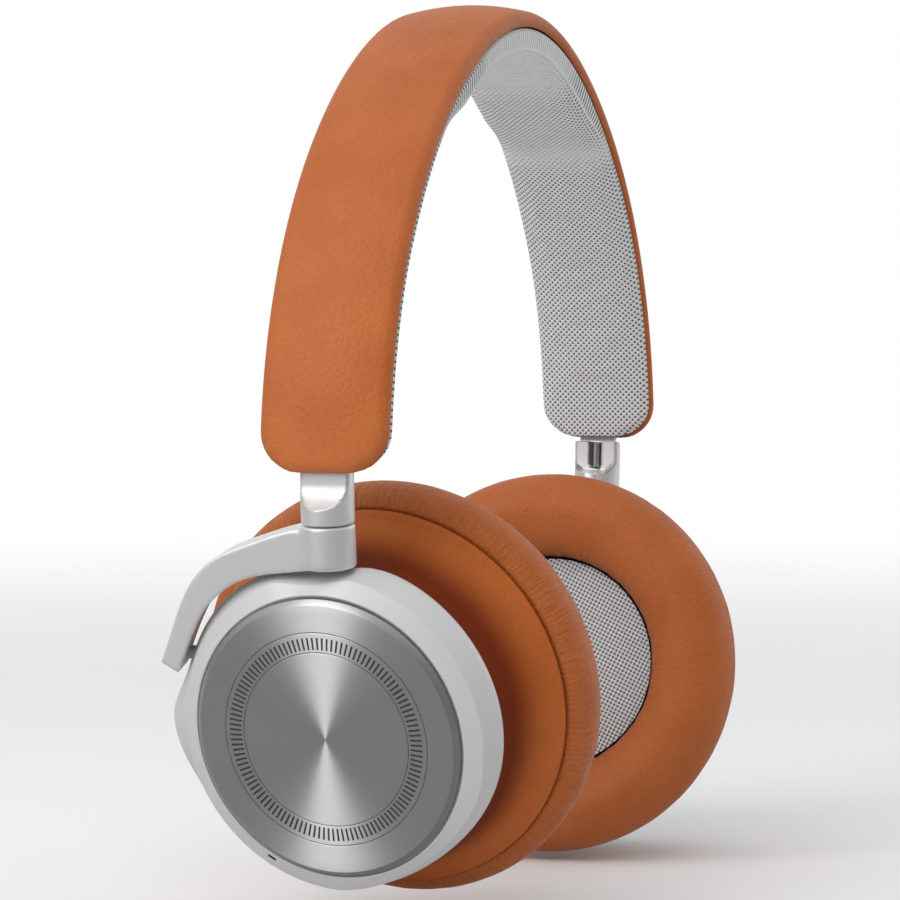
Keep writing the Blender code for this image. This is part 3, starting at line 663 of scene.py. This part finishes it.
def build_band_pad():
    """Knitted pad under the band, filled out by simulation, with room in its back for each slider's tongue."""
    strip = Strip(1.4, 13.9, 8.6, 1.2, 31)

    def rim(along, across):
        return PAD_RIM + TONGUE_ROOM * tongue_track(along, across)

    def face(along, across):
        inset = np.minimum(2.5 * np.maximum(strip.inset(along, across), 0), strip.half_width - np.abs(across))
        full, low = pad_depth(along), rim(along, across)
        fullness = 1 - 0.6 * (1 - smooth_step(off_crown(along), 26, 42))
        return low + (full - low) * np.interp(inset, PAD_INSET, PAD_SHARE) ** fullness

    def ring(lift):
        return lambda along, across: rim(along, across) - lift * (1 - 0.8 * tongue_track(along, across))

    back = ring(PAD_WALL)
    rings = [(0.05, ring(0.3)), (0.3, ring(0.7)), (0.8, back)]
    pad = pillow("headband_pad", strip, face, rings, back, 1.6, MATERIALS["knit"])
    points = coordinates(pad.data) / MM - np.array(ARCH_CENTRE) / MM
    along = np.arctan2(points[:, 2], -points[:, 0]) * ARCH_R
    depth = arch_radius(along / ARCH_R) - np.hypot(points[:, 0], points[:, 2])
    held = (depth < PAD_RIM - 0.3) | (from_end(along) < 3) | (tongue_track(along, points[:, 1]) > 0.1)
    inflate(pad, held)
    add_attribute(pad.data, "weave", "FLOAT_VECTOR", np.stack([points[:, 1], along, depth], -1))
    taut = 0.9 * (1 - smooth_step(off_crown(along), 15, 19))
    for centre, width, _ in PAD_CREASES:
        taut = np.maximum(taut, 0.8 * np.exp(-((off_crown(along) - centre) / (1.5 * width)) ** 2))
    add_attribute(pad.data, "taut", "FLOAT", taut)
    subdivide(pad)
    place_piece(pad, "headband", "grey_knit", "headband_knit_cover")


# ---------------------------------------------------------------- sliders

STRAP_R = (Vector(JOINTS["swivel_right"]["pos_m"]) - ARCH_CENTRE).length / MM
PARTING = 1.0
PARTING_GAP = 0.15
SLIDER_TOP = 13.0
FLAT_FOOT = 4.6
FLAT_REACH = 2.0
OUTER_RUN_OUT, INNER_RUN_OUT = 5.0, 1.4
SLOT_FOOT = 5.9
SLOT_HALF = 1.5
SLOT_FLOOR = 0.3


def milled(height, foot, reach, run_out):
    """Distance from the barrel's axis to a flat milled on it, which runs out in a curve at its foot."""
    rise = max(0.0, min(1.0, (foot + run_out - height) / run_out))
    return reach + (BARREL_R - reach) * rise ** 2


def slider_ring(side, height, inset):
    """One cross-section of the slider: a round bar with a flat outside, and a flat with a slot inside."""
    radius, reach = BARREL_R - inset, FLAT_REACH - inset
    outer = [radius * sin(radians(a)) for a in range(-90, 90, 6)]
    over_slot = [-SLOT_HALF - 0.05, -SLOT_HALF + 0.05, -0.7, 0.0, 0.7, SLOT_HALF - 0.05, SLOT_HALF + 0.05]
    inner = sorted([y for y in outer if abs(y) > SLOT_HALF + 0.2] + over_slot, reverse=True)
    bend = STRAP_R * cos(max(height, 0) / STRAP_R) - STRAP_R
    ring = []
    for y in outer:
        x = min(sqrt(max(radius ** 2 - y * y, 0)), milled(height, FLAT_FOOT, reach, OUTER_RUN_OUT))
        ring.append((side * (x + bend), y, height))
    for y in [radius] + inner:
        corner = 2.2 * max(0.0, (abs(y) - 2.6) / 2.6) ** 2
        x = min(sqrt(max(radius ** 2 - y * y, 0)), milled(height, FLAT_FOOT + corner, reach, INNER_RUN_OUT))
        if abs(y) < SLOT_HALF and height > SLOT_FOOT + SLOT_HALF - sqrt(SLOT_HALF ** 2 - y * y):
            x = SLOT_FLOOR
        ring.append((side * (bend - x), y, height))
    return ring


def build_slider(name, side):
    """Slider: its half of the barrel with a milled tongue above it."""
    lowest = PARTING + PARTING_GAP
    levels = [(lowest, 0.3), (lowest + 0.08, 0.12), (lowest + 0.28, 0.0)]
    levels += [(height, 0.0) for height in np.arange(lowest + 0.5, SLIDER_TOP, 0.2)]
    levels += [(SLIDER_TOP, 0.0), (SLIDER_TOP + 0.001, 0.3)]
    rings = [slider_ring(side, height, inset) for height, inset in levels]
    slider = ring_grid("slider_" + name, rings, barrel_matrix(name), [MATERIALS["blasted"]], False, 30)
    place_piece(slider, "slider_" + name, "blasted_aluminium", "slider_barrel_" + name)


# ---------------------------------------------------------------- arms

# Arm seen from the side, (rearward, up) in mm: outer outline, and how far the inner one is moved from it
ARM_TOP = [(0, 0.4), (7.5, -0.3), (19.2, -4.1), (26.3, -7.2), (31.0, -11.4), (34.4, -17.0), (37.7, -25.0),
           (39.8, -30.0)]
ARM_TOP_LIFT = [(0, 0.4), (0, 0.6), (0.2, 0.8), (0.3, 0.8), (0.4, 0.7), (0.6, 0.5), (0.6, 0.3), (0.6, 0.2)]
ARM_LOW = [(35.6, -32.2), (33.4, -26.8), (31.1, -22.1), (28.7, -18.2), (25.9, -15.4), (22.9, -13.2),
           (19.5, -11.5), (14.7, -10.2), (7.8, -9.3), (0, -8.4)]
ARM_LOW_LIFT = [(2.0, 0.8), (2.1, 0.7), (2.1, 0.9), (1.9, 1.2), (1.6, 1.5), (1.3, 1.7),
                (0.9, 1.8), (0.5, 1.6), (0.2, 1.0), (0, 0)]
ARM_OUT, ARM_IN = 2.8, -5.6


def arm_outline(share):
    """Smooth outline of the arm, from its outer one (share 0) to its inner one (share 1)."""
    outline = []
    for edge, lift in ((ARM_TOP, ARM_TOP_LIFT), (ARM_LOW, ARM_LOW_LIFT)):
        outline += through([(y + share * dy, z + share * dz) for (y, z), (dy, dz) in zip(edge, lift)], 6)
    return outline


def extruded(name, outline, low, high, place):
    """Solid between two copies of an outline of (y, z) points, at two distances along X."""
    rings = [[(x, y, z) for y, z in outline] for x in (low, high)]
    return ring_grid(name, rings, place, [], False)


def soften(mesh, rounds, weight):
    """Laplacian smoothing of each point by its own weight."""
    edges = np.zeros(len(mesh.edges) * 2, np.int32)
    mesh.edges.foreach_get("vertices", edges)
    edges = edges.reshape(-1, 2)
    points = coordinates(mesh)
    count = np.zeros(len(points))
    np.add.at(count, edges.ravel(), 1)
    for number in range(rounds):
        total = np.zeros_like(points)
        np.add.at(total, edges[:, 0], points[edges[:, 1]])
        np.add.at(total, edges[:, 1], points[edges[:, 0]])
        share = (weight > number / rounds)[:, None] * 0.5
        points += share * (total / np.maximum(count, 1)[:, None] - points)
    set_coordinates(mesh, points)


def build_arm(name, side):
    """One-sided arm with its half of the barrel, joined and softened by a fine remesh."""
    place = arm_matrix(name)
    rings = [[(side * x, y, z) for y, z in arm_outline(share)] for x, share in ((ARM_OUT, 0), (ARM_IN, 1))]
    arm = ring_grid("arm_piece_" + name, rings, place, [], False)
    top = PARTING - PARTING_GAP
    barrel = turned("arm_barrel_" + name, [(BARREL_R - 0.25, top), (BARREL_R, top - 0.25), (BARREL_R, -7.9),
                    (BARREL_R - 0.5, -8.4)], place, MATERIALS["blasted"], 96, closed=False)
    boolean(arm, barrel, "UNION")
    remesh = arm.modifiers.new("even", "REMESH")
    remesh.mode = "VOXEL"
    remesh.voxel_size = 0.3 * MM
    apply_modifiers(arm)
    points = coordinates(arm.data) / MM
    fillet = np.exp(-((points[:, 1] - 5.2) / 1.9) ** 2) * (points[:, 0] * side > 1.2) * (points[:, 2] < 0.1)
    soften(arm.data, 20, 0.16 + 0.84 * fillet * (points[:, 2] > -7.6))
    arm.data.materials.clear()
    arm.data.materials.append(MATERIALS["blasted"])
    arm.data.shade_smooth()
    place_piece(arm, "arm_" + name, "blasted_aluminium", "arm_" + name)


# ---------------------------------------------------------------- ear cups

CUSHION = [(40.9, 4.9), (42.6, 5.1), (44.9, 3.6), (46.2, 0.2), (45.5, -5.2), (42.4, -9.5), (37.4, -11.4),
           (31.8, -9.8), (27.6, -6.2), (25.8, -1.9), (26.4, 2.0), (30.0, 5.0), (36.0, 5.2)]
CUSHION_MIDDLE = (36.3, -2.6)
SEAM_HEIGHT = 3.0


def build_cushion(name):
    """Padded leather ring, drawn a little thin and filled out by simulation."""
    around = 208
    section = np.array(through(CUSHION, 4, closed=True))
    middle = np.array(CUSHION_MIDDLE)
    slack = 0.985
    visible = section[:, 1] < SEAM_HEIGHT
    section = np.where(visible[:, None], middle + (section - middle) * slack, section)
    angles = np.arange(around) * 2 * pi / around
    rings = [[(r * cos(a), r * sin(a), h) for a in angles] for r, h in section]
    cushion = ring_grid("cushion_" + name + "_pad", rings, cup_matrix(name), [MATERIALS["cushion_leather"]],
                        True, 80)
    height = np.repeat(section[:, 1], around)
    radius = np.repeat(section[:, 0], around)
    inflate(cushion, height > SEAM_HEIGHT)
    turn = np.tile(angles, len(section))
    seam = np.exp(-((radius - 42.5) ** 2 + (height - 4.6) ** 2) / 14)
    mouth = np.exp(-((radius - 26.5) ** 2 + (height + 3) ** 2) / 22)
    pucker = np.array([noise.noise(Vector((14 * cos(a), 14 * sin(a), h * 0.12 + 7 * SIDES[name])))
                       for a, h in zip(turn, height)])
    points = coordinates(cushion.data)
    flow = points - np.stack([np.cos(turn) * middle[0] * MM, np.sin(turn) * middle[0] * MM,
                              np.full(len(turn), middle[1] * MM)], -1)
    flow /= np.maximum(np.linalg.norm(flow, axis=1, keepdims=True), 1e-9)
    depth = pucker * (0.05 + 0.18 * seam + 0.22 * mouth) * MM
    set_coordinates(cushion.data, points + flow * depth[:, None])
    ahead = np.arctan2(height - middle[1], radius - middle[0]) * 8.0
    add_attribute(cushion.data, "wrinkle", "FLOAT_VECTOR",
                  np.stack([np.cos(turn) * 62, np.sin(turn) * 62, ahead * 0.2], -1))
    outer = np.exp(-((radius - 44.0) ** 2 + (height - 3.0) ** 2) / 30)
    add_attribute(cushion.data, "crease", "FLOAT", np.clip(0.06 + 0.7 * outer + 0.6 * mouth, 0, 1))
    # Painted shade in the mouth of the ear opening, on its innermost part.
    add_attribute(cushion.data, "painted_shade", "FLOAT", 0.5 * mouth * smooth_step(-radius, -27.5, -25.5))
    subdivide(cushion)
    place_piece(cushion, "cup_" + name, "cushion_leather", "cushion_" + name)


# Openings in each cup's leather: angle from up towards the rear, height, half sizes and corner radius
CONTROL_HEIGHT = 20.5
OPENINGS = {
    "right": [(128, CONTROL_HEIGHT, 4.3, 1.85, 1.5), (105, CONTROL_HEIGHT, 3.85, 1.95, 1.6),
              (180, CONTROL_HEIGHT, 5.1, 2.25, 2.0)],
    "left": [(105, CONTROL_HEIGHT, 3.85, 1.95, 1.6), (180, CONTROL_HEIGHT, 3.1, 3.1, 3.05)],
}


WRAP_OUTSIDE = [(33.0, 26.1), (33.3, 21.2), (34.6, 15.4), (36.9, 10.9), (39.3, 8.0), (41.1, 6.9)]
WRAP_LIP = [(41.1, 6.9), (41.75, 6.35), (41.6, 5.75), (40.9, 5.6)]
WRAP_INSIDE = [(38.2, 7.2), (34.4, 13.0), (32.5, 20.0), (32.2, 26.1)]


def build_wrap(name):
    """Leather round the cup, from under the shell's rim to the rolled edge at the cushion."""
    profile = through(WRAP_OUTSIDE, 5)[:-1] + through(WRAP_LIP, 3)[:-1] + through(WRAP_INSIDE, 2)
    wrap = turned("cup_leather_" + name, profile, cup_matrix(name), MATERIALS["wrap_leather"], 192, sharp=80)
    for opening in OPENINGS[name]:
        boolean(wrap, opening_cutter(name, *opening))
    wrap.data.shade_smooth()
    wrap.data.set_sharp_from_angle(angle=radians(50))
    points = coordinates(wrap.data) / MM
    turn = np.arctan2(points[:, 1], points[:, 0])
    add_attribute(wrap.data, "wrinkle", "FLOAT_VECTOR",
                  np.stack([np.cos(turn) * 22, np.sin(turn) * 22, points[:, 2] * 0.12], -1))
    add_attribute(wrap.data, "crease", "FLOAT", 0.15 * smooth_step(-points[:, 2], -10, -5.5))
    # Painted shade: the wrap darkens towards the shell's rim, which shades it.
    add_attribute(wrap.data, "painted_shade", "FLOAT", 0.95 * smooth_step(points[:, 2], 7, 17))
    place_piece(wrap, "cup_" + name, "cognac_leather", "leather_wrap_" + name)


def wall_matrix(side, angle, height):
    """Frame on the cup's side wall, in the cup's own: X out through it, Y round the cup, Z along its axis."""
    turn = Matrix.Rotation(atan2(sin(angle), -side * cos(angle)), 4, "Z")
    return Matrix.Translation((0, 0, height * MM)) @ turn


def pill(half_length, half_width, corner, steps=6):
    """Outline of a rounded bar, as (round the cup, along the cup's axis) points."""
    outline = []
    for quarter, (sy, sz) in enumerate(((1, 1), (-1, 1), (-1, -1), (1, -1))):
        for k in range(steps + 1):
            a = (quarter + k / steps) * pi / 2
            outline.append((sy * (half_length - corner) + corner * cos(a),
                            sz * (half_width - corner) + corner * sin(a)))
    return outline


def opening_cutter(name, angle, height, half_length, half_width, corner):
    place = cup_matrix(name) @ wall_matrix(SIDES[name], radians(angle), height)
    return extruded("opening", pill(half_length, half_width, corner), 28, 40, place)


def bulge(angle, centre, width):
    return exp(-(((angle - centre + 180) % 360 - 180) / width) ** 2)


def shell_outline(angle):
    """Shell radius by angle in degrees from up towards the rear."""
    pivot_bulge = 3.2 * bulge(angle, 90, 12 if angle < 90 else 20)
    return (SHELL_R + pivot_bulge + 0.3 * bulge(angle, 50, 18) - 3.0 * bulge(angle, 4, 15)
            - 2.65 * bulge(angle, -146, 38))


MICROPHONE_ANGLE, MICROPHONE_R, MICROPHONE_HEIGHT = 150, 32.2, 35.2


def microphone_place(name):
    """Slot frame in the shell's front slope: X out of the surface, Y round the cup."""
    out = Matrix.Translation((MICROPHONE_R * MM, 0, 0))
    upright = Matrix.Rotation(-pi / 2, 4, "Y")
    return wall_matrix(SIDES[name], radians(MICROPHONE_ANGLE), MICROPHONE_HEIGHT) @ out @ upright


SHELL_UNDER, SHELL_CREASE, SHELL_FACE, SHELL_SEAT = 26.5, 33.9, 35.8, 35.0
CREASE_R = 34.6


def build_shell(name):
    """Satin shell: gentle front slope, crease, wide bevel and a thin undercut rim."""
    side = SIDES[name]
    count = 240

    def point(degrees_round, radius, height):
        a = radians(degrees_round)
        return (-side * radius * cos(a), radius * sin(a), height)

    def crease(rim, inset):
        return min(rim - 1.2 - inset, CREASE_R - inset)

    def rows(rim):
        slope = (SHELL_FACE - SHELL_CREASE) / (SEAT_R - crease(rim, 0))
        return [(rim - 1.8, SHELL_UNDER), (rim - 0.9, SHELL_UNDER), (rim - 0.55, 26.7), (rim - 0.1, 27.3),
                (rim, 27.7), (rim - 0.02, 28.8), (rim - 0.12, 29.15), (crease(rim, -0.12), 33.72),
                (crease(rim, 0), 33.88),
                (crease(rim, 0.2), SHELL_CREASE - 0.2 * slope), (SEAT_R + 0.3, 35.78), (SEAT_R + 0.08, 35.76),
                (SEAT_R - 0.04, 35.6), (SEAT_R - 0.05, SHELL_SEAT), (16, SHELL_SEAT), (16, 33.6), (29.8, 33.6),
                (crease(rim, 1.8), 32.4), (rim - 1.8, 28.6)]

    angles = [(i * 360 / count + 180) % 360 - 180 for i in range(count)]
    table = [rows(shell_outline(angle)) for angle in angles]
    rings = [[point(angle, *table[i][k]) for i, angle in enumerate(angles)] for k in range(len(table[0]))]
    place = cup_matrix(name)
    shell = ring_grid("shell_" + name, rings, place, [MATERIALS["shell"]], True, 28)
    slot = microphone_place(name)
    boolean(shell, extruded("slot", pill(1.1, 0.4, 0.38), -3, 3, place @ slot))
    shell.data.shade_smooth()
    shell.data.set_sharp_from_angle(angle=radians(28))
    place_piece(shell, "cup_" + name, "silver_shell", "outer_shell_" + name)
    insert = extruded("microphone_slot_" + name, pill(1.05, 0.36, 0.34), -0.35, -2.2, place @ slot)
    insert.data.materials.append(MATERIALS["black_plastic"])
    place_piece(insert, "cup_" + name, "black_plastic", "microphone_" + name)


TICKS = 120
TICK_INNER, TICK_OUTER = 19.6, 22.3
TICK_DEPTH = 0.14
GROOVES = (19.05, 23.39)
GROOVE_DEPTH = 0.2
GROOVE_FLOOR = 0.06
DISC_UNDER = 35.3
DISC_EDGE = 29.3


def disc_rows():
    """(radius, height, in the tick band) down the disc's face, edge and underside."""
    top = DISC_FACE
    rows = [(radius, top, False) for radius in (0.6, 2, 5, 9, 13, 16.5)]
    for groove, after in zip(GROOVES, ((TICK_INNER, TICK_OUTER), None)):
        rows += [(groove - 0.2, top, False), (groove - GROOVE_FLOOR, top - GROOVE_DEPTH, False),
                 (groove + GROOVE_FLOOR, top - GROOVE_DEPTH, False), (groove + 0.2, top, False)]
        if after:
            rows += [(after[0] - 0.03, top, False), (after[0] + 0.03, top, True), (after[1] - 0.03, top, True),
                     (after[1] + 0.03, top, False)]
    edge = [(25.5, top), (27.5, top), (DISC_EDGE - 0.1, top), (DISC_EDGE, top - 0.03),
            (DISC_R - 0.07, top - 1.06), (DISC_R, top - 1.16), (DISC_R, DISC_UNDER), (20, DISC_UNDER),
            (0.6, DISC_UNDER)]
    return rows + [(radius, height, False) for radius, height in edge]


def build_disc(name):
    """Spun metal disc with a polished edge, two fine grooves and a ring of engraved marks."""
    half, wall = radians(0.52), radians(0.06)
    angles, floor = [], []
    for k in range(TICKS):
        centre = 2 * pi * k / TICKS
        angles += [centre - half - wall, centre - half + wall, centre + half - wall, centre + half + wall]
        floor += [False, True, True, False]
    rows = disc_rows()
    rings = [[(r * cos(a), r * sin(a), h - (TICK_DEPTH if marked and low else 0))
              for a, low in zip(angles, floor)] for r, h, marked in rows]
    disc = ring_grid("disc_face_" + name, rings, cup_matrix(name),
                     [MATERIALS["spun"], MATERIALS["tick_ink"], MATERIALS["polished"]], False, 25)
    for face in disc.data.polygons:
        out = hypot(face.center.x, face.center.y) / MM
        sunk = face.center.z / MM < DISC_FACE - 0.02 and face.normal.z > 0
        in_groove = min(abs(out - groove) for groove in GROOVES) < GROOVE_FLOOR
        if sunk and (TICK_INNER < out < TICK_OUTER or in_groove):
            face.material_index = 1
        elif out > DISC_EDGE - 0.05:
            face.material_index = 2
    place_piece(disc, "cup_" + name, "spun_aluminium", "disc_" + name)


CLOTH_R = 25.3
CLOTH_THICKNESS = 0.3


def build_speaker_cloth(name):
    """Thin stretched cloth over the driver, a little domed."""
    radius, count = CLOTH_R, 24
    front = [(radius * k / count, -0.95 - 0.9 * (1 - (k / count) ** 2)) for k in range(1, count + 1)]
    rows = front + [(r, h + CLOTH_THICKNESS) for r, h in reversed(front)]
    cloth = turned("speaker_mesh_" + name, rows, cup_matrix(name), MATERIALS["speaker_mesh"], 96,
                   closed=False, sharp=80)
    points = coordinates(cloth.data) / MM
    add_attribute(cloth.data, "weave", "FLOAT_VECTOR", points)
    add_attribute(cloth.data, "taut", "FLOAT", np.zeros(len(points)))
    place_piece(cloth, "cup_" + name, "speaker_mesh", "speaker_cloth_" + name)


# ---------------------------------------------------------------- stage

DARK_SIDE, BRIGHT_SIDE = 0.22, 0.8
AIM = Vector((0, 0, -0.09))
FLOOR_R = 3.0
FLOOR_GAP = 0.0012


def build_camera():
    data = bpy.data.cameras.new("camera")
    data.sensor_width = 36
    data.lens = 158.57
    camera = bpy.data.objects.new("camera", data)
    bpy.context.scene.collection.objects.link(camera)
    camera.location = (-0.8636, -0.2999, -0.0507)
    camera.rotation_euler = (radians(90 - 2.48), 0, radians(-70.48))
    bpy.context.scene.camera = camera
    bpy.context.view_layer.update()
    return camera


def add_light(name, camera, offset, size, power, reflected=True):
    """Soft box at an offset (right, up, towards the camera) from the object's middle, in metres."""
    right, up, back = camera.matrix_world.to_3x3().col
    data = bpy.data.lights.new(name, "AREA")
    data.shape = "RECTANGLE"
    data.size, data.size_y = size
    data.energy = power
    light = bpy.data.objects.new(name, data)
    bpy.context.scene.collection.objects.link(light)
    light.location = AIM + right * offset[0] + up * offset[1] + back * offset[2]
    light.rotation_euler = (light.location - AIM).to_track_quat("Z", "Y").to_euler()
    light.visible_glossy = reflected


def build_floor():
    """Pale floor that fades out with distance and stays faint in reflections."""
    count = 96
    level = CAD_BOX[0].z - FLOOR_GAP
    mesh = bpy.data.meshes.new("floor")
    mesh.from_pydata([(FLOOR_R * cos(2 * pi * i / count), FLOOR_R * sin(2 * pi * i / count), level)
                      for i in range(count)], [], [tuple(range(count))])
    material, tree, shader = new_material("floor", (0.86, 0.86, 0.86), 0.9)
    place = add_node(tree, "ShaderNodeMapping", {"Vector": object_coordinates(tree), "Scale": (1, 1, 0)})
    length = add_node(tree, "ShaderNodeVectorMath", {0: place.outputs["Vector"]}, operation="LENGTH")
    away = length.outputs["Value"]
    rays = add_node(tree, "ShaderNodeLightPath").outputs
    seen = maths(tree, "SUBTRACT", 1.0, maths(tree, "MULTIPLY", rays["Is Glossy Ray"], 0.92))
    tree.links.new(maths(tree, "MULTIPLY", ramp(tree, away, 0.35, 1.3, 1.0, 0.0), seen), shader.inputs["Alpha"])
    floor = add_object("floor", mesh, None, [material])


def build_studio():
    """White backdrop, and a surround that is brighter above and to the wearer's left."""
    world = bpy.data.worlds.new("studio")
    bpy.context.scene.world = world
    world.use_nodes = True
    tree = world.node_tree
    around = add_node(tree, "ShaderNodeTexCoord").outputs["Generated"]
    split = add_node(tree, "ShaderNodeSeparateXYZ", {"Vector": around})
    upward = maths(tree, "MULTIPLY", split.outputs["Z"], 0.8)
    shade = ramp(tree, maths(tree, "ADD", maths(tree, "MULTIPLY", split.outputs["X"], 0.6), upward), -0.2, 0.8,
                 DARK_SIDE, BRIGHT_SIDE)
    backdrop = add_node(tree, "ShaderNodeLightPath").outputs["Is Camera Ray"]
    tree.links.new(maths(tree, "MAXIMUM", shade, backdrop), tree.nodes["Background"].inputs["Strength"])
    tree.nodes["Background"].inputs["Color"].default_value = (1, 1, 1, 1)
    bpy.context.scene.view_settings.view_transform = "Standard"


def build_lights(camera):
    """A tall soft box at the left, a broad fill over the camera and a weak one behind at the right."""
    add_light("key", camera, (-0.95, 0.75, 0.8), (0.9, 1.4), 10.5)
    add_light("fill", camera, (-0.3, 0.9, 1.4), (1.3, 1.3), 9, reflected=False)
    add_light("rim", camera, (1.2, 0.55, -0.7), (0.7, 1.1), 2)


# ---------------------------------------------------------------- the object

dress_cad_nodes()
build_band_leather()
build_band_pad()
for side_name, side_sign in SIDES.items():
    build_slider(side_name, side_sign)
    build_arm(side_name, side_sign)
    build_cushion(side_name)
    build_wrap(side_name)
    build_shell(side_name)
    build_disc(side_name)
    build_speaker_cloth(side_name)
build_floor()
build_studio()
build_lights(build_camera())

bpy.context.view_layer.update()
